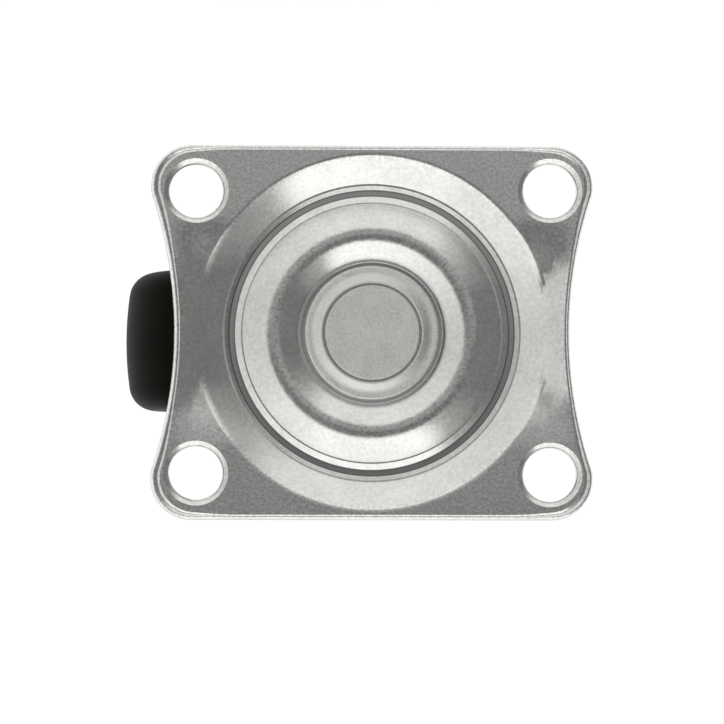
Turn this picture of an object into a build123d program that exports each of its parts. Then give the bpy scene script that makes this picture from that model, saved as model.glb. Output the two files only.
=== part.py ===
from build123d import *
import os
from math import asin, cos, pi, radians, sin, tan

# Light swivel caster with a pressed plate, a double ball race and a 25 mm wheel, in millimetres.
# The origin is on the swivel axis, in the plate's mounting face. +Z points out of that face, and the
# wheel trails towards -X, with its axle along Y.

# Top plate
plate_length = 38.0
plate_width = 32.2
plate_thickness = 1.2
plate_corner_radius = 3.5
waist_depth = 2.0  # how far each short side curves in
waist_shoulder = 4.1  # from a long side to where the curve starts
waist_end_radius = 2.5
hole_inset_x = 3.75  # hole centres to the plate's short ends
hole_inset_y = 3.9  # hole centres to its long sides
hole_diameter = 4.5
hole_edge_radius = 0.5
rim_radius = 0.4  # rolled edge round the mounting face

# Pressing of the plate: radii and depths of its upper surface
dish_margin = 0.7  # flange left between the pressing and a long side
dish_land = 0.5  # run of the dish's edge before its slope
dish_edge_radius = 1.8
slope_run = 2.45  # from the dish's edge to the step
step_width = 0.45
step_depth = 1.1
step_edge_radius = 0.15
groove_depth = 2.25
groove_foot_radius = 1.1
floor_depth = 1.55
floor_foot_radius = 0.3
crest_depth = 0.45
race_wrap = 50.0  # degrees of the race's arch on each side of its crest

# Ball races
step_to_race = 4.45  # from the step to the upper race's pitch circle
upper_ball_diameter = 3.0
lower_pitch_radius = 4.6
lower_ball_diameter = 2.0
race_clearance = 0.05
ball_gap = 0.15  # least gap between two balls of a ring
upper_race_depth = 0.7  # depth of the crown's upper race below its web
lower_race_depth = 0.24  # height of the crown's lower race above the web's underside

# King pin
pin_diameter = 5.0
pin_race_margin = 2.7  # from the upper race's pitch circle to the pin's flange
pin_flange_height = 0.5
pin_face_margin = 1.65  # from the flange's edge to the raised face's
pin_face_height = 0.9
pin_face_bevel = 0.85
pin_edge_radius = 0.15
pin_tail_diameter = 6.4
pin_tail_height = 0.9
pin_tail_edge_height = 0.45  # straight part of the tail's edge

# Lower cup
cup_thickness = 0.8
cup_race_start = 35.0  # degrees below the balls' centres where the race leaves the cup's floor
cup_rim_height = 0.3  # above the balls' centres

# Fork
fork_thickness = 1.2
crown_margin = 2.5  # from the upper race's pitch circle to the crown's wall
crown_edge_radius = 1.2
crown_skirt_height = 2.9
crown_hole_clearance = 0.6
overall_height = 35.0
swivel_lead = 8.8
leg_end_radius = 4.3
leg_root_front = 7.2
leg_root_rear = 8.2
leg_front_sag = 1.4  # hollow of the front edge
leg_front_land = 2.7  # straight left at each end of that hollow
leg_corner_radius = 3.0
leg_root_drop = 0.06  # sink of the legs' roots below the crown's web, left by the drawing
leg_shoulder_drop = 4.2  # from the web's top to where the legs start to converge
leg_knee_drop = 9.0  # from the web's top to where they run parallel
leg_bend_radius = 2.6

# Wheel
wheel_diameter = 25.0
tread_width = 12.4
tread_radius = 30.0
tread_shoulder_radius = 2.3
tyre_inner_radius = 7.6
tyre_flank_height = 1.3
tyre_rib_height = 1.0
tyre_rib_width = 3.0
core_rim_width = 10.4
core_rim_thickness = 1.4
core_web_thickness = 3.0
core_fillet_radius = 0.8
core_hub_radius = 4.0
hub_clearance = 0.2  # hub to leg, each side
side_clearance = 0.7  # tyre to leg, each side

# Axle
sleeve_diameter = 4.4
sleeve_clearance = 0.05  # sleeve to hub bore, on the radius
rivet_diameter = 3.0
rivet_head_diameter = 6.0
rivet_head_height = 1.1
rivet_tail_diameter = 5.2
rivet_tail_height = 0.9
rivet_edge_height = 0.35  # straight part of each head's edge

# Places that follow from the sizes above
dish_radius = plate_width / 2 - dish_margin
step_radius = dish_radius - slope_run
upper_pitch_radius = step_radius - step_to_race
pin_flange_radius = upper_pitch_radius - pin_race_margin
crown_radius = upper_pitch_radius + crown_margin
upper_race_radius = upper_ball_diameter / 2 + race_clearance
lower_race_radius = lower_ball_diameter / 2 + race_clearance
arch_radius = upper_race_radius + plate_thickness
upper_ball_z = -crest_depth - arch_radius
web_top = upper_ball_z - upper_race_radius + upper_race_depth
web_bottom = web_top - fork_thickness
lower_ball_z = web_bottom + lower_race_depth - lower_race_radius
cup_floor_z = lower_ball_z - lower_race_radius * sin(radians(cup_race_start))
cup_underside_z = cup_floor_z - cup_thickness
pin_radius = pin_diameter / 2
crown_hole_radius = pin_radius + crown_hole_clearance
wheel_radius = wheel_diameter / 2
axle_z = wheel_radius - overall_height
fork_gap = tread_width + 2 * side_clearance
leg_outside = fork_gap / 2 + fork_thickness
sleeve_radius = sleeve_diameter / 2
rivet_radius = rivet_diameter / 2
axle_plane = Plane(origin=(-swivel_lead, 0, axle_z), x_dir=(0, 1, 0), z_dir=(1, 0, 0))
axle_axis = Axis((-swivel_lead, 0, axle_z), (0, 1, 0))


def balls_that_fit(pitch_radius, ball_diameter):
    """Number of balls in a full ring, with at least the least gap between them."""
    half_step = asin((ball_diameter + ball_gap) / (2 * pitch_radius))
    return int(pi / half_step)


def flank_foot(side, depth):
    """Point where the arch's straight flank, inside (-1) or outside (+1), reaches a depth."""
    drop = depth - crest_depth - arch_radius * (1 - cos(radians(race_wrap)))
    run = arch_radius * sin(radians(race_wrap)) + drop / tan(radians(race_wrap))
    return (upper_pitch_radius + side * run, -depth)


def sheet_underside(points):
    """Corners of the line that runs below another, at the plate's thickness."""
    path = [Vector(*point) for point in points]
    turns = [(b - a).normalized().rotate(Axis.Z, -90) for a, b in zip(path, path[1:])]
    normals = zip([turns[0]] + turns, turns + [turns[-1]])
    below = [p + (a + b) * (plate_thickness / (1 + a.dot(b))) for p, (a, b) in zip(path, normals)]
    return [(point.X, point.Y) for point in below]


def pressed_side(floor, race_radius, slope, corner_radii):
    """One side of the plate's pressing: its floor, the arch over the balls and the slope up to the flange."""
    with BuildLine() as side:
        Polyline(*floor)
        CenterArc((upper_pitch_radius, upper_ball_z), race_radius, 90 - race_wrap, 2 * race_wrap)
        Polyline(*slope)
        for corner, radius in zip([floor[1]] + slope[1:-1], corner_radii):
            fillet(side.vertices().sort_by_distance(corner)[0], radius)
    return side.line


# Top plate: a flat flange round a pressed centre of even thickness
with BuildPart() as top_plate:
    half_length = plate_length / 2
    half_width = plate_width / 2
    half_span = half_width - waist_shoulder
    with BuildSketch(Plane.XY.offset(-plate_thickness)) as outline:
        with BuildLine():
            top_edge = Line((-half_length, half_width), (half_length, half_width))
            right_shoulder = Line(top_edge @ 1, (half_length, half_span))
            right_waist = ThreePointArc(
                right_shoulder @ 1, (half_length - waist_depth, 0), (half_length, -half_span)
            )
            Polyline(
                right_waist @ 1,
                (half_length, -half_width),
                (-half_length, -half_width),
                (-half_length, -half_span),
            )
            left_waist = ThreePointArc(
                (-half_length, -half_span), (waist_depth - half_length, 0), (-half_length, half_span)
            )
            Line(left_waist @ 1, top_edge @ 0)
        make_face()
        rows = outline.vertices().group_by(Axis.Y)
        fillet(rows[0] + rows[-1], plate_corner_radius)
        waist_ends = outline.vertices().filter_by(lambda v: abs(abs(v.Y) - half_span) < 0.001)
        fillet(waist_ends, waist_end_radius)
    extrude(amount=plate_thickness)
    fillet(top_plate.edges().group_by(Axis.Z)[-1], rim_radius)
    with BuildSketch(Plane.XY):
        Circle(dish_radius)
    extrude(amount=-plate_thickness, mode=Mode.SUBTRACT)
    arch_side = Vector(0, arch_radius).rotate(Axis.Z, race_wrap)
    arch_start = (upper_pitch_radius + arch_side.X, upper_ball_z + arch_side.Y)
    arch_end = (upper_pitch_radius - arch_side.X, upper_ball_z + arch_side.Y)
    floor_line = [(pin_radius, -floor_depth), flank_foot(-1, floor_depth), arch_start]
    slope_line = [
        arch_end,
        flank_foot(1, groove_depth),
        (step_radius - step_width, -groove_depth),
        (step_radius, -step_depth),
        (dish_radius - dish_land, 0),
        (dish_radius, 0),
    ]
    floor_below = sheet_underside(floor_line)
    slope_below = sheet_underside(slope_line)
    radii = [floor_foot_radius, groove_foot_radius, step_edge_radius, step_edge_radius, dish_edge_radius]
    hollow_radii = [radius + plate_thickness for radius in radii[:3]]
    radii_below = hollow_radii + [step_edge_radius, dish_edge_radius - plate_thickness]
    with BuildSketch(Plane.XZ):
        with BuildLine():
            add(pressed_side(floor_line, arch_radius, slope_line, radii))
            add(pressed_side(floor_below, upper_race_radius, slope_below, radii_below))
            Line(floor_line[0], floor_below[0])
            Line(slope_line[-1], slope_below[-1])
        make_face()
    revolve(axis=Axis.Z)
    with GridLocations(plate_length - 2 * hole_inset_x, plate_width - 2 * hole_inset_y, 2, 2):
        Hole(hole_diameter / 2)
    hole_edges = top_plate.edges().filter_by(GeomType.CIRCLE)
    hole_edges = hole_edges.filter_by(lambda e: abs(e.radius - hole_diameter / 2) < 0.001)
    fillet(hole_edges.group_by(Axis.Z)[-1], hole_edge_radius)
top_plate.part.label = "top_plate"

# King pin: headed over the plate's floor at one end and over the lower cup at the other
with BuildPart() as king_pin:
    face_top = (pin_flange_radius - pin_face_margin, pin_face_height - floor_depth)
    flange_top = (pin_flange_radius, pin_flange_height - floor_depth)
    tail_shoulder = (pin_tail_diameter / 2, cup_underside_z - pin_tail_edge_height)
    tail_tip = (0, cup_underside_z - pin_tail_height)
    with BuildSketch(Plane.XZ) as pin_section:
        with BuildLine():
            head = Polyline(
                (0, face_top[1]),
                face_top,
                (face_top[0] + pin_face_bevel, flange_top[1]),
                flange_top,
                (flange_top[0], -floor_depth),
                (pin_radius, -floor_depth),
                (pin_radius, cup_underside_z),
                (pin_tail_diameter / 2, cup_underside_z),
                tail_shoulder,
            )
            TangentArc(tail_tip, tail_shoulder, tangent=(1, 0))
            Line(tail_tip, head @ 0)
        make_face()
        for corner in (face_top, flange_top):
            fillet(pin_section.vertices().sort_by_distance(corner)[0], pin_edge_radius)
    revolve(axis=Axis.Z)
king_pin.part.label = "king_pin"

# Lower cup: pressed race for the small balls, held on the pin by its tail
with BuildPart() as lower_cup:
    with BuildSketch(Plane.XZ):
        with BuildLine():
            cup_race = CenterArc(
                (lower_pitch_radius, lower_ball_z), lower_race_radius, 180 + cup_race_start, 180 - cup_race_start
            )
            Line((pin_radius, cup_floor_z), cup_race @ 0)
            Line(cup_race @ 1, (lower_pitch_radius + lower_race_radius, lower_ball_z + cup_rim_height))
            offset(amount=cup_thickness, side=Side.RIGHT)
        make_face()
    revolve(axis=Axis.Z)
lower_cup.part.label = "lower_cup"


def ring_section(pitch_radius, centre_z, radius, clip_z, clip_side):
    """Round section of a race's wall, cut off level above or below."""
    with BuildSketch(Plane.XZ) as section:
        with Locations((pitch_radius, centre_z)):
            Circle(radius)
        with Locations((pitch_radius, clip_z)):
            Rectangle(4 * radius, 4 * radius, align=(Align.CENTER, clip_side), mode=Mode.SUBTRACT)
    return section.sketch


# Fork: a drawn crown with a race on each face, and two legs bent down from its rim
with BuildPart() as fork:
    skirt_bottom = web_top - crown_skirt_height
    leg_bottom = axle_z - 2 * leg_end_radius
    with BuildSketch(Plane.YZ):
        root = (crown_radius, web_top - leg_root_drop)
        shoulder = (crown_radius, web_top - leg_shoulder_drop)
        knee = (leg_outside, web_top - leg_knee_drop)
        with BuildLine() as half_band:
            Polyline((0, root[1]), root, shoulder, knee, (leg_outside, leg_bottom))
            fillet(half_band.vertices().sort_by_distance(root)[0], crown_edge_radius)
            fillet(half_band.vertices().sort_by_distance(shoulder)[0], leg_bend_radius)
            fillet(half_band.vertices().sort_by_distance(knee)[0], leg_bend_radius)
            offset(amount=fork_thickness, side=Side.RIGHT)
        make_face()
        mirror(about=Plane.YZ)
    extrude(amount=2 * crown_radius, both=True)
    with BuildSketch(Plane.XZ) as leg_outline:
        with Locations((-swivel_lead, axle_z)):
            Circle(leg_end_radius)
        with Locations(((leg_root_front - leg_root_rear) / 2, web_top)):
            Rectangle(leg_root_front + leg_root_rear, crown_skirt_height, align=(Align.CENTER, Align.MAX))
        make_hull()
        slanted = leg_outline.edges().filter_by(lambda e: abs((e % 0.5).X * (e % 0.5).Y) > 0.1)
        front_edge = slanted.filter_by(GeomType.LINE).sort_by(Axis.X)[-1]
        along = front_edge % 0.5
        forward = Vector(abs(along.Y), -abs(along.X))
        half_chord = front_edge.length / 2 - leg_front_land
        front_radius = (half_chord**2 + leg_front_sag**2) / (2 * leg_front_sag)
        with Locations((front_edge @ 0.5) + forward * (front_radius - leg_front_sag)):
            Circle(front_radius, mode=Mode.SUBTRACT)
        axle_centre = Vector(-swivel_lead, axle_z)
        front_corners = leg_outline.vertices().filter_by(
            lambda v: v.X > -swivel_lead
            and axle_z < v.Y < skirt_bottom + 0.001
            and (Vector(v) - axle_centre).length > leg_end_radius + 0.001
        )
        fillet(front_corners, leg_corner_radius)
    extrude(amount=2 * crown_radius, both=True, mode=Mode.INTERSECT)
    with BuildSketch(Plane.XZ) as crown_section:
        with BuildLine():
            Polyline(
                (crown_hole_radius, web_top),
                (crown_radius, web_top),
                (crown_radius, skirt_bottom),
                (crown_radius - fork_thickness, skirt_bottom),
                (crown_radius - fork_thickness, web_bottom),
                (crown_hole_radius, web_bottom),
                close=True,
            )
        make_face()
        fillet(crown_section.vertices().sort_by_distance((crown_radius, web_top))[0], crown_edge_radius)
        ridge_radius = upper_race_radius + fork_thickness
        arch_outer_radius = lower_race_radius + fork_thickness
        web_middle = (web_top + web_bottom) / 2 - race_clearance
        add(ring_section(upper_pitch_radius, upper_ball_z, ridge_radius, web_middle, Align.MIN))
        add(ring_section(lower_pitch_radius, lower_ball_z, arch_outer_radius, web_middle, Align.MAX))
    revolve(axis=Axis.Z)
    with BuildSketch(Plane.XZ):
        with Locations((upper_pitch_radius, upper_ball_z)):
            Circle(upper_race_radius)
        with Locations((lower_pitch_radius, lower_ball_z)):
            Circle(lower_race_radius)
    revolve(axis=Axis.Z, mode=Mode.SUBTRACT)
    Hole(crown_hole_radius)
    with BuildSketch(Plane.XZ):
        with Locations((-swivel_lead, axle_z)):
            Circle(rivet_radius)
    extrude(amount=2 * crown_radius, both=True, mode=Mode.SUBTRACT)
fork.part.label = "fork"

# Tyre: crowned tread with round shoulders, moulded on the core's rim
with BuildPart() as wheel_tyre:
    half_tread = tread_width / 2
    half_rim = core_rim_width / 2
    tread_drop = tread_radius - (tread_radius**2 - half_tread**2) ** 0.5
    tread_edge = (half_tread, wheel_radius - tread_drop)
    with BuildSketch(axle_plane) as tyre_section:
        with BuildLine():
            ThreePointArc((-tread_edge[0], tread_edge[1]), (0, wheel_radius), tread_edge)
            Polyline(
                tread_edge,
                (half_tread, tyre_inner_radius + tyre_flank_height),
                (half_rim, tyre_inner_radius),
                (tyre_rib_width / 2, tyre_inner_radius),
                (tyre_rib_width / 2, tyre_inner_radius + tyre_rib_height),
                (-tyre_rib_width / 2, tyre_inner_radius + tyre_rib_height),
                (-tyre_rib_width / 2, tyre_inner_radius),
                (-half_rim, tyre_inner_radius),
                (-half_tread, tyre_inner_radius + tyre_flank_height),
                (-tread_edge[0], tread_edge[1]),
            )
        make_face()
        fillet(tyre_section.vertices().group_by(Axis.Y)[-1], tread_shoulder_radius)
    revolve(axis=axle_axis)
wheel_tyre.part.label = "wheel_tyre"

# Core: hub, web and rim in one moulding
with BuildPart() as wheel_core:
    hub_half_length = fork_gap / 2 - hub_clearance
    bore_radius = sleeve_radius + sleeve_clearance
    rim_inner_radius = tyre_inner_radius - core_rim_thickness
    with BuildSketch(axle_plane) as core_section:
        with BuildLine():
            Polyline(
                (-hub_half_length, bore_radius),
                (hub_half_length, bore_radius),
                (hub_half_length, core_hub_radius),
                (core_web_thickness / 2, core_hub_radius),
                (core_web_thickness / 2, rim_inner_radius),
                (core_rim_width / 2, rim_inner_radius),
                (core_rim_width / 2, tyre_inner_radius),
                (tyre_rib_width / 2, tyre_inner_radius),
                (tyre_rib_width / 2, tyre_inner_radius + tyre_rib_height),
                (-tyre_rib_width / 2, tyre_inner_radius + tyre_rib_height),
                (-tyre_rib_width / 2, tyre_inner_radius),
                (-core_rim_width / 2, tyre_inner_radius),
                (-core_rim_width / 2, rim_inner_radius),
                (-core_web_thickness / 2, rim_inner_radius),
                (-core_web_thickness / 2, core_hub_radius),
                (-hub_half_length, core_hub_radius),
                close=True,
            )
        make_face()
        web_corners = core_section.vertices().filter_by(
            lambda v: abs(abs(v.X) - core_web_thickness / 2) < 0.001 and v.Y < tyre_inner_radius
        )
        fillet(web_corners, core_fillet_radius)
    revolve(axis=axle_axis)
wheel_core.part.label = "wheel_core"

# Axle sleeve: clamped between the legs, the wheel's plain bearing
with BuildPart() as axle_sleeve:
    with BuildSketch(axle_plane):
        with Locations((0, (sleeve_radius + rivet_radius) / 2)):
            Rectangle(fork_gap, sleeve_radius - rivet_radius)
    revolve(axis=axle_axis)
axle_sleeve.part.label = "axle_sleeve"

# Axle rivet: domed head outside one leg, formed tail outside the other
with BuildPart() as axle_rivet:
    head_tip = (leg_outside + rivet_head_height, 0)
    tail_tip = (-leg_outside - rivet_tail_height, 0)
    head_rim = (leg_outside + rivet_edge_height, rivet_head_diameter / 2)
    tail_rim = (-leg_outside - rivet_edge_height, rivet_tail_diameter / 2)
    with BuildSketch(axle_plane):
        with BuildLine():
            TangentArc(tail_tip, tail_rim, tangent=(0, 1))
            Polyline(
                tail_rim,
                (-leg_outside, tail_rim[1]),
                (-leg_outside, rivet_radius),
                (leg_outside, rivet_radius),
                (leg_outside, head_rim[1]),
                head_rim,
            )
            TangentArc(head_tip, head_rim, tangent=(0, 1))
            Line(head_tip, tail_tip)
        make_face()
    revolve(axis=axle_axis)
axle_rivet.part.label = "axle_rivet"

os.makedirs("parts", exist_ok=True)
export_step(top_plate.part, "parts/top_plate.step")
export_step(king_pin.part, "parts/king_pin.step")
export_step(lower_cup.part, "parts/lower_cup.step")
export_step(fork.part, "parts/fork.step")
export_step(wheel_tyre.part, "parts/wheel_tyre.step")
export_step(wheel_core.part, "parts/wheel_core.step")
export_step(axle_sleeve.part, "parts/axle_sleeve.step")
export_step(axle_rivet.part, "parts/axle_rivet.step")

# Balls: a full ring in each race, every ball a piece of its own
for ring, pitch_radius, diameter, centre_z in (
    ("upper_ball", upper_pitch_radius, upper_ball_diameter, upper_ball_z),
    ("lower_ball", lower_pitch_radius, lower_ball_diameter, lower_ball_z),
):
    places = PolarLocations(pitch_radius, balls_that_fit(pitch_radius, diameter))
    for number, place in enumerate(places, start=1):
        with BuildPart(Plane.XY.offset(centre_z)) as ball:
            with Locations(place):
                Sphere(diameter / 2)
        ball.part.label = f"{ring}_{number:02d}"
        export_step(ball.part, f"parts/{ball.part.label}.step")
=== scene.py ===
import bmesh
import bpy
import math
from mathutils import Matrix, Quaternion, Vector
from mathutils.geometry import delaunay_2d_cdt


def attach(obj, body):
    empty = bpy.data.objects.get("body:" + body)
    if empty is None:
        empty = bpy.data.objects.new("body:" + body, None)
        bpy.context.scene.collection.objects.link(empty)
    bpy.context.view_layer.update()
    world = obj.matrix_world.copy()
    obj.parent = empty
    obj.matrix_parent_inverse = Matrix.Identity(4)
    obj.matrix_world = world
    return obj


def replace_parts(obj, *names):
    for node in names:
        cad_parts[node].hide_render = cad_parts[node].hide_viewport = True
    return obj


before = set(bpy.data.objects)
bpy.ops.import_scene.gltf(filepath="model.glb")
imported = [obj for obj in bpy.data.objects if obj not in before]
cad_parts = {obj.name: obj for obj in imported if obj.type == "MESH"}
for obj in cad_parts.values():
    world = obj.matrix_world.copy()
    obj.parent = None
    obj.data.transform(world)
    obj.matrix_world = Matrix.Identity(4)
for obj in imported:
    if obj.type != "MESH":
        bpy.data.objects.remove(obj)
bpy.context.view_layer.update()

# Every length below is in millimetres, unless its note says otherwise.
MM = 0.001

# Camera: its lens and sensor are the usual millimetres, its lean is in degrees
VIEW_CENTRE = (-0.91, -2.56, 0.0)
CAMERA_SPOT = (-17.0, -17.1, 400.0)
CAMERA_LENS = 232.6
CAMERA_SENSOR = 36.0
CAMERA_NEAREST = 10.0
CAMERA_FARTHEST = 20000.0
PHOTO_LEAN = -0.08

FLOOR_HEIGHT = -35.0
FLOOR_SIDE = 4000.0

# Outline of the plate
HALF_LENGTH = 19.0
HALF_WIDTH = 16.1
SHEET = 1.2
CORNER_RADIUS = 3.5
WAIST_DEPTH = 2.0
WAIST_HALF_SPAN = 12.0
WAIST_RADIUS = (WAIST_HALF_SPAN**2 + WAIST_DEPTH**2) / (2 * WAIST_DEPTH)
WAIST_END_RADIUS = 2.5
WAIST_STEPS = 40
LONG_SIDE_MARGIN = 4.0
LONG_SIDE_STEP = 1.5
LONG_SIDE_POINTS = 21

# Border of the flange: the width of its band, its shallow valley and its crest. The two ramps say
# how far from the plate's middle, across and along it, the band changes to its width at a corner.
CORNER_BAND = 0.62
SHORT_SIDE_BAND = 0.42
LONG_SIDE_BAND = 0.36
ACROSS_TO_CORNER = (5.0, 13.0)
ALONG_TO_CORNER = (12.0, 18.0)
BAND_SLOPE = 0.3
VALLEY_LEAST = 0.03
VALLEY_FALL = 0.8
CREST_INSET = 0.14
SIDE_FLARE = 0.12
RAW_EDGE_TOP = -1.0

# Crest and sheared wall of the border: (inset from the outline, height)
EDGE_WALL = [
    (CREST_INSET + SIDE_FLARE + 0.06, -0.035),
    (CREST_INSET + SIDE_FLARE, -0.03),
    (CREST_INSET / 2 + SIDE_FLARE, -0.07),
    (SIDE_FLARE + 0.01, -0.16),
    (SIDE_FLARE, -0.3),
    (SIDE_FLARE / 2, -0.75),
    (0.0, 0.05 - SHEET),
    (SIDE_FLARE / 2, -SHEET),
]

# Screw holes: the bevel is (past the hole's radius, height), and the middle is where the finish
# takes the hole of each quarter to be
HOLE_PLACES = [(-15.12, -12.1), (-15.12, 12.1), (15.25, -12.2), (15.25, 12.2)]
HOLE_MIDDLE = (15.2, 12.15)
HOLE_RADIUS = 2.28
HOLE_BEVEL = [(0.49, 0.0), (0.42, -0.02), (0.08, -0.36), (0.02, -0.43), (0.0, -0.5), (0.0, -SHEET)]
HOLE_SEGMENTS = 72

# Pressing of the plate: radii from the swivel axis and heights of the upper surface. The race's
# centre and the crease are (radius, height), and the wrap is in degrees.
RACE_CENTRE = (8.5, -3.2)
RACE_TOP_RADIUS = 2.75
RACE_UNDER_RADIUS = 1.55
RACE_WRAP = 36.0
RACE_TOP_STEPS = 28
RACE_UNDER_STEPS = 20
CREASE = (11.12, -1.705)
CREASE_LEDGE = 0.14
FLOOR_LEVEL = -1.55
GROOVE_LEVEL = -2.0
GROOVE_START = 11.8
GROOVE_END = 12.3
STEP_LEVEL = -1.7
STEP_RADIUS = 12.66
STEP_LEDGE = 0.2
DISH_RADIUS = 15.5
DISH_LAND = 0.42
RING_SEGMENTS = 288

# Sag of the flange beside the short sides' middles, and the grid of points that gives it form
SAG_FROM = 12.9
SAG_SLOPE = 0.3
SAG_DEPTH = 0.6
SAG_FADE = (4.0, 9.8)
SAG_GRID = 0.5
SAG_COLUMNS = 12
SAG_EDGE_GAP = 0.45
SAG_RING_GAP = 0.55

# The output type of delaunay_2d_cdt that keeps every triangle of the points' hull
WHOLE_HULL = 0
SAME_SPOT = 1e-6

# King pin
PIN_RADIUS = 2.5
PIN_FACE = -0.65
PIN_FLANGE = -1.05
PIN_SCORE = 4.16
PIN_SCORE_DEPTH = 0.2
PIN_FLANGE_RADIUS = 5.78
PIN_TAIL_TOP = -7.46
PIN_TAIL_RADIUS = 3.2
PIN_CRISP_ANGLE = 40
PIN_SAME_SPOT = 0.0005

# Tones that the marks fade to: the zinc's specks, the painted shade round the pin's flange and in
# the pin's score line, and the bare steel of the sheared edge
SPECK_TONE = (0.3, 0.29, 0.285, 1.0)
PAINTED_PIN_SHADE_TONE = (0.36, 0.36, 0.37, 1.0)
SCORE_SHADE_TONE = (0.16, 0.16, 0.16, 1.0)
RAW_STEEL_TONE = (0.36, 0.29, 0.24, 1.0)
WHITE = (1.0, 1.0, 1.0, 1.0)

# Light round the object: (share of a turn, from the wheel's side by way of -Y, brightness)
RING_LIGHT = [
    (0.0, 0.77),
    (0.07, 0.9),
    (0.19, 1.25),
    (0.335, 1.36),
    (0.365, 0.5),
    (0.43, 0.22),
    (0.56, 0.22),
    (0.605, 0.4),
    (0.66, 0.96),
    (0.78, 0.98),
    (0.95, 0.74),
    (1.0, 0.77),
]
RING_WARMTH = (1.0, 0.99, 0.97)
CEILING_START = 0.90
CEILING_FULL = 0.955


class Graph:
    """A node tree with short calls for the nodes that the materials use."""

    def __init__(self, owner):
        owner.use_nodes = True
        self.tree = owner.node_tree
        self.nodes = self.tree.nodes

    def node(self, kind, inputs=None, **settings):
        made = self.nodes.new(kind)
        for name, value in settings.items():
            setattr(made, name, value)
        for name, value in (inputs or {}).items():
            self.feed(made.inputs[name], value)
        return made

    def feed(self, socket, value):
        if isinstance(value, bpy.types.NodeSocket):
            self.tree.links.new(value, socket)
        else:
            socket.default_value = value

    def math(self, operation, first, second=0.0):
        return self.node("ShaderNodeMath", {0: first, 1: second}, operation=operation).outputs[0]

    def weighed(self, first, first_share, second, second_share):
        return self.math(
            "ADD",
            self.math("MULTIPLY", first, first_share),
            self.math("MULTIPLY", second, second_share),
        )

    def noise(self, place, size_mm, detail=3.0, stretch=(1.0, 1.0, 1.0)):
        spot = self.node(
            "ShaderNodeMapping", {"Vector": place, "Scale": stretch}
        ).outputs["Vector"]
        return self.node(
            "ShaderNodeTexNoise",
            {"Vector": spot, "Scale": 1.0 / (size_mm * MM), "Detail": detail},
        ).outputs["Fac"]

    def ramp(self, factor, stops):
        """Colours or greys between (position, tone) stops."""
        made = self.node("ShaderNodeValToRGB", {"Fac": factor})
        band = made.color_ramp
        while len(band.elements) < len(stops):
            band.elements.new(0.5)
        for element, (position, tone) in zip(band.elements, stops):
            element.position = position
            element.color = (*tone, 1.0) if isinstance(tone, tuple) else (tone, tone, tone, 1.0)
        return made.outputs["Color"]

    def range(self, value, low, high, to_low=0.0, to_high=1.0):
        return self.node(
            "ShaderNodeMapRange",
            {
                "Value": value,
                "From Min": low,
                "From Max": high,
                "To Min": to_low,
                "To Max": to_high,
            },
        ).outputs["Result"]

    def range_mm(self, value, low, high, to_low=0.0, to_high=1.0):
        """The same, for a length whose low and high are in millimetres."""
        return self.range(value, low * MM, high * MM, to_low, to_high)

    def bump(self, height, strength, depth_mm, normal=None):
        inputs = {"Height": height, "Strength": strength, "Distance": depth_mm * MM}
        if normal:
            inputs["Normal"] = normal
        return self.node("ShaderNodeBump", inputs).outputs["Normal"]

    def mix(self, share, first, second):
        return self.node(
            "ShaderNodeMixRGB", {"Fac": share, "Color1": first, "Color2": second}
        ).outputs["Color"]

    def axis_distance(self, place):
        flat = self.node(
            "ShaderNodeVectorMath", {0: place, 1: (1.0, 1.0, 0.0)}, operation="MULTIPLY"
        ).outputs[0]
        return self.node("ShaderNodeVectorMath", {0: flat}, operation="LENGTH").outputs["Value"]

    def off_radius(self, place, radius_mm):
        """How far a place lies from a circle round the swivel axis, to either side of it."""
        past = self.math("SUBTRACT", self.axis_distance(place), radius_mm * MM)
        return self.math("ABSOLUTE", past)

    def object_place(self):
        return self.node("ShaderNodeTexCoord").outputs["Object"]


def arc(centre, radius, start, end, steps):
    """Points on an arc, angles in degrees from +X."""
    turns = [math.radians(start + (end - start) * i / steps) for i in range(steps + 1)]
    return [(centre[0] + radius * math.cos(a), centre[1] + radius * math.sin(a)) for a in turns]


def rounded(corners, closed=False):
    """A line through (x, y, radius) corners, with each corner of some radius made an arc."""
    path = []
    count = len(corners)
    for i, (x, y, radius) in enumerate(corners):
        here = Vector((x, y))
        if radius <= 0 or (not closed and i in (0, count - 1)):
            path.append(here)
            continue
        before = (Vector(corners[i - 1][:2]) - here).normalized()
        after = (Vector(corners[(i + 1) % count][:2]) - here).normalized()
        half = before.angle(after) / 2
        centre = here + (before + after).normalized() * (radius / math.sin(half))
        first = here + before * (radius / math.tan(half)) - centre
        last = here + after * (radius / math.tan(half)) - centre
        start = math.atan2(first.y, first.x)
        sweep = (math.atan2(last.y, last.x) - start + math.pi) % (2 * math.pi) - math.pi
        steps = max(3, math.ceil(abs(sweep) / math.radians(7)))
        for k in range(steps + 1):
            turn = start + sweep * k / steps
            path.append(centre + Vector((math.cos(turn), math.sin(turn))) * radius)
    return path


def eased(value, low, high):
    """0 at the low value and 1 at the high one, with a soft start and end."""
    share = min(1.0, max(0.0, (value - low) / (high - low)))
    return share * share * (3 - 2 * share)


def new_piece(name, finish, work):
    """A smooth piece of the plate's body, from a mesh in millimetres that is then let go."""
    bmesh.ops.recalc_face_normals(work, faces=work.faces)
    mesh = bpy.data.meshes.new(name)
    work.to_mesh(mesh)
    work.free()
    mesh.transform(Matrix.Scale(MM, 4))
    mesh.shade_smooth()
    mesh.materials.append(finish)
    piece = bpy.data.objects.new(name, mesh)
    bpy.context.scene.collection.objects.link(piece)
    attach(piece, "plate")
    return piece


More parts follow.
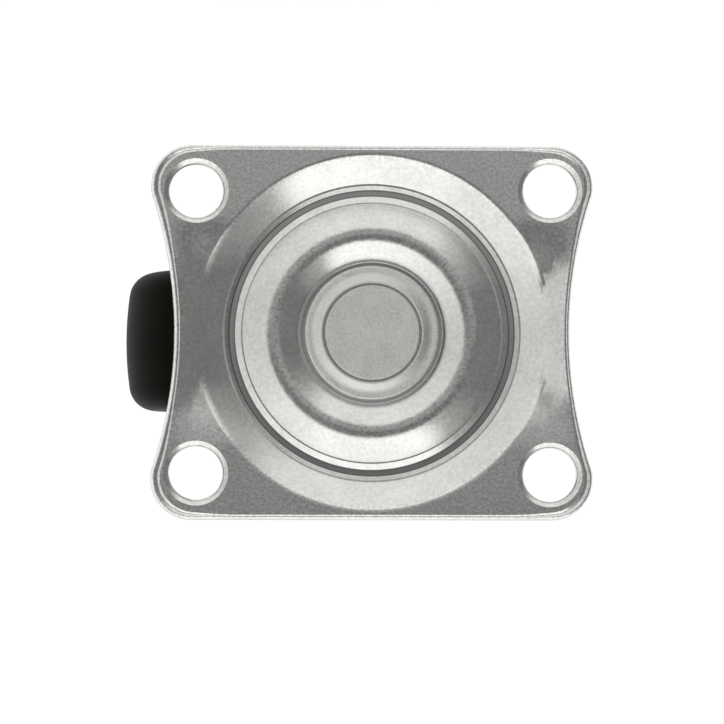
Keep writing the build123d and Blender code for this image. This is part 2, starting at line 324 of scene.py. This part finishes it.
def turned_rings(work, profile, centre=(0.0, 0.0), segments=RING_SEGMENTS):
    """Rings of vertices for each (radius, height) of a profile, joined by quads."""
    turns = [2 * math.pi * k / segments for k in range(segments)]
    rings = []
    for radius, height in profile:
        ring = []
        for turn in turns:
            x = centre[0] + radius * math.cos(turn)
            y = centre[1] + radius * math.sin(turn)
            ring.append(work.verts.new((x, y, height)))
        rings.append(ring)
    join_rings(work, rings)
    return rings


def join_rings(work, rings):
    for inner, outer in zip(rings, rings[1:]):
        count = len(inner)
        for k in range(count):
            after = (k + 1) % count
            work.faces.new((inner[k], outer[k], outer[after], inner[after]))


def flank_point(side, level):
    """Where the race arch's straight flank, inside (-1) or outside (+1), reaches a level."""
    wrap = math.radians(RACE_WRAP)
    drop = RACE_CENTRE[1] + RACE_TOP_RADIUS * math.cos(wrap) - level
    return RACE_CENTRE[0] + side * (RACE_TOP_RADIUS * math.sin(wrap) + drop / math.tan(wrap))


def joined_profile(inner, arch, outer):
    """One line from the inner part, the race's arch and the outer part, which share end points."""
    before = [tuple(point) for point in rounded(inner)[:-1]]
    after = [tuple(point) for point in rounded(outer)[1:]]
    return before + arch + after


def pressing_top():
    """Upper surface of the pressing, from the king pin's shank to the flange."""
    arch = arc(RACE_CENTRE, RACE_TOP_RADIUS, 90 + RACE_WRAP, 90 - RACE_WRAP, RACE_TOP_STEPS)
    inner = [
        (PIN_RADIUS, FLOOR_LEVEL, 0),
        (flank_point(-1, FLOOR_LEVEL), FLOOR_LEVEL, 0.3),
        (*arch[0], 0),
    ]
    outer = [
        (*arch[-1], 0),
        (*CREASE, 0.04),
        (CREASE[0] + CREASE_LEDGE, CREASE[1] - 0.01, 0.04),
        (GROOVE_START, GROOVE_LEVEL, 0.12),
        (GROOVE_END, GROOVE_LEVEL - 0.02, 0.1),
        (STEP_RADIUS, STEP_LEVEL, 0.06),
        (STEP_RADIUS + STEP_LEDGE, STEP_LEVEL + 0.01, 0.08),
        (DISH_RADIUS - DISH_LAND, 0.0, 1.0),
        (DISH_RADIUS, 0.0, 0),
    ]
    return joined_profile(inner, arch, outer)


def pressing_under():
    """Lower surface of the pressing, a sheet's thickness below the upper one."""
    arch = arc(RACE_CENTRE, RACE_UNDER_RADIUS, 90 + RACE_WRAP, 90 - RACE_WRAP, RACE_UNDER_STEPS)
    shift = SHEET * math.tan(math.radians(RACE_WRAP / 2))
    floor = FLOOR_LEVEL - SHEET
    groove = GROOVE_LEVEL - SHEET
    inner = [
        (PIN_RADIUS, floor, 0),
        (flank_point(-1, FLOOR_LEVEL) + shift, floor, 1.0),
        (*arch[0], 0),
    ]
    outer = [
        (*arch[-1], 0),
        (flank_point(1, GROOVE_LEVEL) - shift, groove, 1.4),
        (STEP_RADIUS, groove, 1.0),
        (DISH_RADIUS + 0.1, -SHEET, 0.3),
        (DISH_RADIUS + 0.25, -SHEET, 0),
    ]
    return joined_profile(inner, arch, outer)


def plate_outline():
    """Outline of the plate as points, each with its outward direction and its border's width."""
    reach = math.degrees(math.asin(WAIST_HALF_SPAN / WAIST_RADIUS))
    middle = (HALF_LENGTH - WAIST_DEPTH + WAIST_RADIUS, 0)
    waist = arc(middle, WAIST_RADIUS, 180 + reach, 180 - reach, WAIST_STEPS)
    ends = (0, WAIST_STEPS)
    half = [(HALF_LENGTH, -HALF_WIDTH, CORNER_RADIUS)]
    half += [(*p, WAIST_END_RADIUS if i in ends else 0) for i, p in enumerate(waist)]
    half.append((HALF_LENGTH, HALF_WIDTH, CORNER_RADIUS))
    long_side = [
        HALF_LENGTH - LONG_SIDE_MARGIN - k * LONG_SIDE_STEP for k in range(LONG_SIDE_POINTS)
    ]
    corners = half + [(x, HALF_WIDTH, 0) for x in long_side]
    corners += [(-x, -y, radius) for x, y, radius in half]
    corners += [(-x, -HALF_WIDTH, 0) for x in long_side]
    points = rounded(corners, closed=True)
    count = len(points)
    outline = []
    for i, point in enumerate(points):
        along = points[(i + 1) % count] - points[i - 1]
        outward = Vector((along.y, -along.x)).normalized()
        outline.append((point, outward, edge_band(point)))
    return outline


def edge_band(point):
    """How far in from the edge the flange's pressed border starts: widest at the corners."""
    by_corner = eased(abs(point.y), *ACROSS_TO_CORNER)
    short_side = SHORT_SIDE_BAND + (CORNER_BAND - SHORT_SIDE_BAND) * by_corner
    by_long_side = 1 - eased(abs(point.x), *ALONG_TO_CORNER)
    return short_side + (LONG_SIDE_BAND - short_side) * by_long_side


def border_profile(band):
    """The border across at one point, as (inset, height): valley, crest and sheared wall."""
    valley = BAND_SLOPE * max(0.0, band - 2 * CREST_INSET) + VALLEY_LEAST
    start = band + valley / VALLEY_FALL
    return [
        (start + 0.03, 0.0),
        (start - 0.02, -0.01),
        (band + 0.03, -valley + 0.015),
        (band - 0.02, -valley),
        (band - 0.07, -valley + 0.01),
        *EDGE_WALL,
    ]


def plate_edge_rings(work, outline):
    """The plate's border from the flange out, as rings that follow the outline."""
    border = [border_profile(band) for _, _, band in outline]
    rings = []
    for level in range(len(border[0])):
        ring = []
        for (point, outward, _), profile in zip(outline, border):
            inset, height = profile[level]
            spot = point - outward * inset
            ring.append(work.verts.new((spot.x, spot.y, height)))
        rings.append(ring)
    join_rings(work, rings)
    return rings


def waist_edge(y):
    """How far from the middle the plate's concave short side lies at some distance along it."""
    return HALF_LENGTH - WAIST_DEPTH + WAIST_RADIUS - math.sqrt(WAIST_RADIUS**2 - y**2)


def sag(spot):
    """Depth to which the pressing has drawn the flange in, beside the two short sides' middles."""
    x, y = abs(spot.x), abs(spot.y)
    radius = math.hypot(x, y)
    if radius < SAG_FROM or y > SAG_FADE[1]:
        return 0.0
    depth = min(SAG_DEPTH, SAG_SLOPE * max(0.0, waist_edge(y) - SHORT_SIDE_BAND - x))
    near_ring = min(1.0, (radius - SAG_FROM) / (DISH_RADIUS - DISH_LAND - SAG_FROM))
    return depth * near_ring * (1 - eased(y, *SAG_FADE))


def sag_grid():
    """Points inside the flange where it sags, so that its faces follow the slope."""
    rows = math.ceil(SAG_FADE[1] / SAG_GRID)
    spots = []
    for row in range(-rows, rows + 1):
        y = row * SAG_GRID
        edge = waist_edge(y) - SHORT_SIDE_BAND - SAG_EDGE_GAP
        for column in range(SAG_COLUMNS):
            x = edge - column * SAG_GRID
            if math.hypot(x, y) > DISH_RADIUS + SAG_RING_GAP:
                spots += [Vector((x, y)), Vector((-x, y))]
    return spots


def inside(spot, walls):
    """Whether a line from the spot towards +X crosses the walls an odd number of times."""
    crossings = 0
    for first, second in walls:
        if (first.y > spot.y) != (second.y > spot.y):
            share = (spot.y - first.y) / (second.y - first.y)
            crossings += first.x + share * (second.x - first.x) > spot.x
    return crossings % 2 == 1


def fill_between(work, rings, level):
    """Faces between closed rings of vertices at a level, with the sag's grid of points in them."""
    known = [vertex for ring in rings for vertex in ring]
    edges = []
    start = 0
    for ring in rings:
        count = len(ring)
        edges += [(start + k, start + (k + 1) % count) for k in range(count)]
        start += count
    spots = [vertex.co.xy for vertex in known] + sag_grid()
    places, _, triangles, sources, _, _ = delaunay_2d_cdt(
        spots, edges, [], WHOLE_HULL, SAME_SPOT, True
    )
    corners = []
    for place, source in zip(places, sources):
        on_ring = source and source[0] < len(known)
        corners.append(known[source[0]] if on_ring else work.verts.new((*place, level)))
    walls = [(spots[first], spots[second]) for first, second in edges]
    for triangle in triangles:
        middle = sum((places[i] for i in triangle), Vector((0.0, 0.0))) / 3
        if inside(middle, walls):
            work.faces.new([corners[i] for i in triangle])
    for first, second in edges:
        work.edges.get((known[first], known[second])).smooth = False
    loose = [vertex for vertex in corners if not vertex.link_faces]
    bmesh.ops.delete(work, geom=loose, context="VERTS")


def pressed_plate(finish):
    """The mounting plate as one sheet: pressed centre, flange, holes and sheared edge."""
    work = bmesh.new()
    top = turned_rings(work, pressing_top())
    under = turned_rings(work, pressing_under())
    join_rings(work, [top[0], under[0]])
    edge = plate_edge_rings(work, plate_outline())
    bevel = [(HOLE_RADIUS + wider, height) for wider, height in HOLE_BEVEL]
    holes = [turned_rings(work, bevel, spot, HOLE_SEGMENTS) for spot in HOLE_PLACES]
    fill_between(work, [top[-1], edge[0], *(hole[0] for hole in holes)], 0.0)
    fill_between(work, [under[-1], edge[-1], *(hole[-1] for hole in holes)], -SHEET)
    for vertex in work.verts:
        vertex.co.z -= sag(vertex.co)
    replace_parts(new_piece("pressed_plate", finish, work), "top_plate")


def pin_profile():
    """The king pin's outline from the face's middle, by the flange and shank, to the tail."""
    score = PIN_FACE - PIN_SCORE_DEPTH
    return [
        (0.0, PIN_FACE - 0.04, 0),
        (2.6, PIN_FACE - 0.03, 3.0),
        (3.95, PIN_FACE, 0.6),
        (PIN_SCORE - 0.14, PIN_FACE - 0.01, 0.05),
        (PIN_SCORE - 0.03, score, 0.02),
        (PIN_SCORE + 0.03, score, 0.02),
        (PIN_SCORE + 0.16, PIN_FACE - 0.03, 0.06),
        (4.42, PIN_FACE - 0.03, 0.1),
        (4.95, PIN_FLANGE + 0.03, 0.3),
        (5.2, PIN_FLANGE - 0.02, 0.3),
        (5.5, PIN_FLANGE, 0.4),
        (PIN_FLANGE_RADIUS, PIN_FLANGE - 0.02, 0.18),
        (PIN_FLANGE_RADIUS + 0.02, FLOOR_LEVEL, 0),
        (PIN_RADIUS, FLOOR_LEVEL, 0),
        (PIN_RADIUS, PIN_TAIL_TOP, 0),
        (PIN_TAIL_RADIUS - 0.1, PIN_TAIL_TOP, 0),
        (PIN_TAIL_RADIUS, PIN_TAIL_TOP - 0.25, 0.3),
        (PIN_TAIL_RADIUS - 0.35, PIN_TAIL_TOP - 0.62, 0.5),
        (1.4, PIN_TAIL_TOP - 0.86, 1.5),
        (0.55, PIN_TAIL_TOP - 0.84, 0.3),
        (0.0, PIN_TAIL_TOP - 0.72, 0),
    ]


def headed_pin(finish):
    """The king pin: a dull flat face in a scored ring, a sloping shoulder and a low flange."""
    work = bmesh.new()
    turned_rings(work, [tuple(point) for point in rounded(pin_profile())])
    bmesh.ops.remove_doubles(work, verts=work.verts, dist=PIN_SAME_SPOT)
    bmesh.ops.recalc_face_normals(work, faces=work.faces)
    crisp_edges(work, PIN_CRISP_ANGLE)
    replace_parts(new_piece("headed_pin", finish, work), "king_pin")


def crisp_edges(work, limit):
    """Shade the edges sharp where two faces meet at more than some degrees."""
    for edge in work.edges:
        if len(edge.link_faces) == 2 and edge.calc_face_angle() > math.radians(limit):
            edge.smooth = False


def material(name):
    made = bpy.data.materials.new(name)
    graph = Graph(made)
    return made, graph, graph.nodes["Principled BSDF"]


def zinc_steel(name, light, dark, smooth, rough, speckle_depth):
    """Bright zinc plating on sheet steel: fine speckle, soft clouding and a few rolling lines, with
    painted shade round the pin's flange and in the groove's bottom.
    """
    made, graph, shader = material(name)
    place = graph.object_place()
    height = graph.node("ShaderNodeSeparateXYZ", {0: place}).outputs["Z"]
    clouds = graph.noise(place, 3.5, 4.0)
    speckle = graph.noise(place, 0.34, 3.0)
    lines = graph.noise(place, 0.12, 3.0, (0.06, 1.0, 1.0))
    mixed = graph.weighed(clouds, 0.4, speckle, 0.6)
    tone = graph.ramp(mixed, [(0.36, dark), (0.64, light)])
    tone = flange_spangle(graph, place, height, tone)
    tone = race_specks(graph, place, tone)
    tone = painted_pin_shade(graph, place, tone)
    tone = painted_groove_shade(graph, place, height, tone)
    tone = sheared_wall(graph, place, height, tone)
    tone = raw_edge(graph, place, height, tone)
    shader.inputs["Metallic"].default_value = 1.0
    graph.feed(shader.inputs["Base Color"], tone)
    graph.feed(shader.inputs["Roughness"], graph.range(mixed, 0.35, 0.65, smooth, rough))
    fine = graph.bump(speckle, 0.5, speckle_depth)
    graph.feed(shader.inputs["Normal"], graph.bump(lines, 0.12, speckle_depth, fine))
    return made


def flange_spangle(graph, place, height, tone):
    """A coarser spangle on the level flange, which the pressing has left unstretched."""
    spangle = graph.ramp(graph.noise(place, 0.24, 3.0), [(0.38, 0.53), (0.62, 0.92)])
    on_flange = graph.range_mm(height, -0.3, -0.1, 0.0, 0.5)
    return graph.mix(on_flange, tone, spangle)


def race_specks(graph, place, tone):
    """Dark specks on the race's crest, where the pressing has stretched the sheet most."""
    crest = graph.range_mm(graph.off_radius(place, RACE_CENTRE[0]), 0.4, 0.8, 0.4, 0.0)
    specks = graph.ramp(graph.noise(place, 0.26, 3.0), [(0.5, 0.0), (0.62, 1.0)])
    return graph.mix(graph.math("MULTIPLY", crest, specks), tone, SPECK_TONE)


def painted_pin_shade(graph, place, tone):
    """Painted shade: the floor round the pin's flange, in the recess by the race's inner flank,
    darkened towards a grey.
    """
    by_pin = graph.range_mm(graph.axis_distance(place), 6.3, 6.6, 0.6, 0.0)
    return graph.mix(by_pin, tone, PAINTED_PIN_SHADE_TONE)


def painted_groove_shade(graph, place, height, tone):
    """Painted shade in the groove's bottom, darkest at its two sides."""
    in_groove = graph.math(
        "MULTIPLY",
        graph.range_mm(height, GROOVE_LEVEL + 0.03, GROOVE_LEVEL + 0.01),
        graph.range_mm(height, -2.6, -2.4),
    )
    across = graph.range_mm(graph.axis_distance(place), GROOVE_START - 0.04, GROOVE_END + 0.05)
    groove_shade_tones = graph.ramp(
        across, [(0.0, 0.2), (0.1, 0.22), (0.25, 0.48), (0.75, 0.5), (0.88, 0.16), (1.0, 0.12)]
    )
    return graph.mix(in_groove, tone, groove_shade_tones)


def beyond_flange(graph, place):
    """1 farther out than the pressing, 0 within it."""
    return graph.range_mm(graph.axis_distance(place), 16.2, 16.3)


def sheared_wall(graph, place, height, tone):
    """Burnished and torn bands, from the shearing, on the plate's outer wall."""
    bands = graph.ramp(
        graph.range_mm(height, -SHEET, 0.0),
        [
            (0.0, 0.5),
            (0.42, 0.5),
            (0.45, 0.3),
            (0.5, 0.3),
            (0.54, 0.56),
            (0.74, 0.6),
            (0.8, 0.82),
            (1.0, 0.82),
        ],
    )
    outside = graph.math("MULTIPLY", away_from_holes(graph, place), beyond_flange(graph, place))
    below_crest = graph.range_mm(height, -0.56, -0.5, 1.0, 0.0)
    share = graph.math("MULTIPLY", graph.math("MULTIPLY", outside, 0.6), below_crest)
    return graph.mix(share, tone, bands)


def raw_edge(graph, place, height, tone):
    """Brownish bare steel on the lowest part of the wall, where the blank broke off."""
    low = graph.math(
        "MULTIPLY",
        graph.range_mm(height, RAW_EDGE_TOP + 0.06, RAW_EDGE_TOP),
        graph.range_mm(height, 0.01 - SHEET, 0.03 - SHEET),
    )
    share = graph.math("MULTIPLY", low, beyond_flange(graph, place))
    return graph.mix(share, tone, RAW_STEEL_TONE)


def away_from_holes(graph, place):
    """1 outside the screw holes' edges, 0 within them."""
    folded = graph.node("ShaderNodeVectorMath", {0: place}, operation="ABSOLUTE").outputs[0]
    middle = (HOLE_MIDDLE[0] * MM, HOLE_MIDDLE[1] * MM, 0.0)
    centred = graph.node(
        "ShaderNodeVectorMath", {0: folded, 1: middle}, operation="SUBTRACT"
    ).outputs[0]
    return graph.range_mm(graph.axis_distance(centred), 3.1, 3.3)


def formed_steel(name):
    """Cold-formed steel with dull faces: grain, faint round tool marks and painted shade along the
    score line.
    """
    made, graph, shader = material(name)
    place = graph.object_place()
    grain = graph.noise(place, 0.22, 4.0)
    clouds = graph.noise(place, 1.6, 3.0)
    tool_marks = graph.node(
        "ShaderNodeTexWave",
        {"Vector": place, "Scale": 420.0, "Distortion": 3.0, "Detail": 2.0, "Detail Scale": 2.0},
        wave_type="RINGS",
        rings_direction="Z",
    ).outputs["Fac"]
    mixed = graph.weighed(clouds, 0.3, grain, 0.7)
    bare = graph.ramp(
        mixed,
        [(0.3, (0.6, 0.595, 0.585)), (0.5, (0.73, 0.725, 0.715)), (0.7, (0.8, 0.795, 0.785))],
    )
    # Painted shade: a dark ring along the pin's score groove
    scored = graph.range_mm(graph.off_radius(place, PIN_SCORE), 0.03, 0.13, 0.55, 0.0)
    shader.inputs["Metallic"].default_value = 1.0
    graph.feed(shader.inputs["Base Color"], graph.mix(scored, bare, SCORE_SHADE_TONE))
    graph.feed(shader.inputs["Roughness"], graph.range(mixed, 0.3, 0.7, 0.44, 0.56))
    fine = graph.bump(grain, 0.3, 0.03)
    graph.feed(shader.inputs["Normal"], graph.bump(tool_marks, 0.18, 0.02, fine))
    return made


def ball_steel():
    """Ground and polished bearing steel with a greasy film on parts of it."""
    made, graph, shader = material("ball_steel")
    place = graph.object_place()
    film = graph.noise(place, 0.9, 3.0)
    tone = graph.ramp(film, [(0.4, (0.62, 0.62, 0.64)), (0.65, (0.78, 0.78, 0.8))])
    shader.inputs["Metallic"].default_value = 1.0
    graph.feed(shader.inputs["Base Color"], tone)
    graph.feed(shader.inputs["Roughness"], graph.range(film, 0.35, 0.7, 0.06, 0.22))
    fine = graph.bump(graph.noise(place, 0.1, 2.0), 0.08, 0.004)
    graph.feed(shader.inputs["Normal"], fine)
    return made


def moulded_rubber():
    """Black rubber with a brownish bloom, mould grain and a soft sheen."""
    made, graph, shader = material("black_rubber")
    place = graph.object_place()
    bloom = graph.noise(place, 2.4, 4.0)
    grain = graph.noise(place, 0.14, 3.0)
    tone = graph.ramp(bloom, [(0.35, (0.0011, 0.0008, 0.0004)), (0.7, (0.0032, 0.0023, 0.0012))])
    graph.feed(shader.inputs["Base Color"], tone)
    graph.feed(shader.inputs["Roughness"], graph.range(grain, 0.3, 0.7, 0.4, 0.56))
    shader.inputs["Specular IOR Level"].default_value = 0.035
    shader.inputs["Specular Tint"].default_value = (1.0, 0.85, 0.62, 1.0)
    graph.feed(shader.inputs["Normal"], graph.bump(grain, 0.3, 0.03))
    return made


def moulded_plastic():
    """Dark moulded polymer with a fine spark-eroded grain and flow clouds."""
    made, graph, shader = material("core_plastic")
    place = graph.object_place()
    flow = graph.noise(place, 4.0, 3.0, (1.0, 0.4, 1.0))
    grain = graph.noise(place, 0.1, 2.0)
    tone = graph.ramp(flow, [(0.35, (0.018, 0.018, 0.019)), (0.65, (0.034, 0.034, 0.035))])
    graph.feed(shader.inputs["Base Color"], tone)
    graph.feed(shader.inputs["Roughness"], graph.range(grain, 0.3, 0.7, 0.38, 0.52))
    graph.feed(shader.inputs["Normal"], graph.bump(grain, 0.2, 0.02))
    return made


def dress(node, finish):
    """Put a finish on a CAD node."""
    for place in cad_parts[node].material_slots:
        place.material = finish


def studio_world():
    """A softbox ring with a darker wedge at the right and a grey ceiling, white to the camera."""
    world = bpy.data.worlds.new("studio")
    graph = Graph(world)
    direction = graph.node("ShaderNodeTexCoord").outputs["Generated"]
    parts = graph.node("ShaderNodeSeparateXYZ", {0: direction}).outputs
    turn = graph.math("ARCTAN2", parts["Y"], parts["X"])
    share = graph.range(turn, -math.pi, math.pi)
    ring = graph.ramp(
        share,
        [(turned, tuple(level * warmth for warmth in RING_WARMTH)) for turned, level in RING_LIGHT],
    )
    ceiling = graph.range(parts["Z"], CEILING_START, CEILING_FULL)
    cap = graph.ramp(
        graph.range(parts["Y"], -0.02, 0.09),
        [(0.0, (0.225, 0.225, 0.225)), (1.0, (0.41, 0.41, 0.405))],
    )
    seen = graph.mix(ceiling, ring, cap)
    to_camera = graph.node("ShaderNodeLightPath").outputs["Is Camera Ray"]
    shown = graph.mix(to_camera, seen, WHITE)
    graph.feed(graph.nodes["Background"].inputs["Color"], shown)
    bpy.context.scene.world = world


def pale_floor():
    """A plain white table under the wheel, bright enough to blend with the backdrop."""
    mesh = bpy.data.meshes.new("floor")
    side = FLOOR_SIDE / 2 * MM
    height = FLOOR_HEIGHT * MM
    corners = [(-side, -side), (side, -side), (side, side), (-side, side)]
    mesh.from_pydata([(x, y, height) for x, y in corners], [], [(0, 1, 2, 3)])
    floor = bpy.data.objects.new("floor", mesh)
    bpy.context.scene.collection.objects.link(floor)
    made, graph, shader = material("white_table")
    tone = graph.noise(graph.object_place(), 60.0, 2.0)
    graph.feed(shader.inputs["Base Color"], graph.ramp(tone, [(0.3, 0.36), (0.7, 0.39)]))
    shader.inputs["Roughness"].default_value = 0.9
    shader.inputs["Emission Color"].default_value = WHITE
    shader.inputs["Emission Strength"].default_value = 0.8
    mesh.materials.append(made)


def photo_camera():
    """The camera over the plate, a little to the wheel's side, leaning with the photograph."""
    camera = bpy.data.objects.new("camera", bpy.data.cameras.new("camera"))
    bpy.context.scene.collection.objects.link(camera)
    spot = Vector(CAMERA_SPOT) * MM
    ahead = (Vector(VIEW_CENTRE) * MM - spot).normalized()
    right = ahead.cross(Vector((0.0, 1.0, 0.0))).normalized()
    upright = Matrix((right, right.cross(ahead), -ahead)).transposed().to_quaternion()
    lean = Quaternion(ahead, math.radians(PHOTO_LEAN))
    camera.rotation_mode = "QUATERNION"
    camera.rotation_quaternion = lean @ upright
    camera.location = spot
    camera.data.lens = CAMERA_LENS
    camera.data.sensor_width = CAMERA_SENSOR
    camera.data.clip_start = CAMERA_NEAREST * MM
    camera.data.clip_end = CAMERA_FARTHEST * MM
    bpy.context.scene.camera = camera


plate_zinc = zinc_steel(
    "zinc_plate", (0.82, 0.815, 0.805), (0.65, 0.645, 0.635), 0.12, 0.2, 0.012
)
# The fork's zinc is a darker copy of the plate's: painted shade that dims the fork's reflection of
# the bright floor
shaded_fork_zinc = zinc_steel(
    "zinc_fork", (0.66, 0.655, 0.645), (0.46, 0.455, 0.45), 0.16, 0.26, 0.014
)
steel = formed_steel("pin_steel")
polished = ball_steel()
rubber = moulded_rubber()
plastic = moulded_plastic()
finishes = {
    "top_plate": plate_zinc,
    "lower_cup": plate_zinc,
    "fork": shaded_fork_zinc,
    "king_pin": steel,
    "axle_sleeve": steel,
    "axle_rivet": steel,
    "wheel_tyre": rubber,
    "wheel_core": plastic,
}
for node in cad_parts:
    dress(node, finishes.get(node, polished))

pressed_plate(plate_zinc)
headed_pin(steel)
studio_world()
pale_floor()
photo_camera()
bpy.context.scene.view_settings.view_transform = "Standard"
